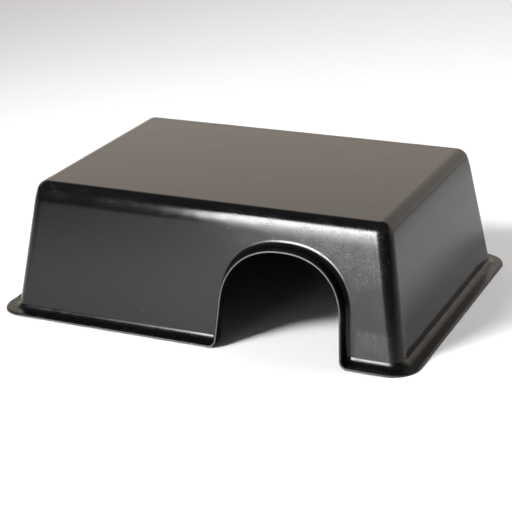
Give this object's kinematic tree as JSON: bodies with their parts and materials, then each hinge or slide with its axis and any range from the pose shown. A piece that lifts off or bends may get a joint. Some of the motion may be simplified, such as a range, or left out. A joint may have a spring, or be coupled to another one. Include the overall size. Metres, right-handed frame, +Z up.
{
  "type": "bait station",
  "caption": "Low black moulded cover with drafted walls, a foot flange and an arched doorway, standing over a bait tray with blocks on two lift-out rods.",
  "frame": {"origin": "on the floor under the middle of the cover's outline", "axes": "+Z up, doorway in the wall that faces -Y, +X to the right as seen from the doorway side"},
  "size_m": [0.548, 0.392, 0.163],
  "materials": {
    "cover_plastic": "black thermoformed sheet, satin with scuffs",
    "tray_plastic": "dark grey moulded, fine texture",
    "bracket_steel": "bent zinc-plated plate",
    "rod_steel": "drawn wire",
    "fastener_steel": "zinc plated",
    "collar_plastic": "natural nylon",
    "bait_wax": "pressed wax and grain, dull",
    "foot_rubber": "black rubber"
  },
  "bodies": {
    "tray": {"bait_tray": "tray_plastic", "rod_bracket_front": "bracket_steel", "rod_bracket_back": "bracket_steel", "tray_foot_1": "foot_rubber", "tray_foot_2": "foot_rubber", "tray_foot_3": "foot_rubber", "tray_foot_4": "foot_rubber", "bracket_screw_1": "fastener_steel", "bracket_screw_2": "fastener_steel", "bracket_screw_3": "fastener_steel", "bracket_screw_4": "fastener_steel", "bracket_nut_1": "fastener_steel", "bracket_nut_2": "fastener_steel", "bracket_nut_3": "fastener_steel", "bracket_nut_4": "fastener_steel"},
    "cover": {"cover_shell": "cover_plastic"},
    "rod_left": {"bait_rod_left": "rod_steel", "rod_collar_left_front": "collar_plastic", "rod_collar_left_back": "collar_plastic", "bait_block_left_1": "bait_wax", "bait_block_left_2": "bait_wax", "bait_block_left_3": "bait_wax", "bait_block_left_4": "bait_wax"},
    "rod_right": {"bait_rod_right": "rod_steel", "rod_collar_right_front": "collar_plastic", "rod_collar_right_back": "collar_plastic", "bait_block_right_1": "bait_wax", "bait_block_right_2": "bait_wax", "bait_block_right_3": "bait_wax", "bait_block_right_4": "bait_wax"}
  },
  "joints": [
    {"name": "cover_lift", "type": "slide", "parent": "tray", "child": "cover", "axis": [0, 0, 1], "range_m": [0, 0.2]},
    {"name": "rod_left_lift", "type": "slide", "parent": "tray", "child": "rod_left", "axis": [0, 0, 1], "range_m": [0, 0.045]},
    {"name": "rod_right_lift", "type": "slide", "parent": "tray", "child": "rod_right", "axis": [0, 0, 1], "range_m": [0, 0.045]}
  ]
}
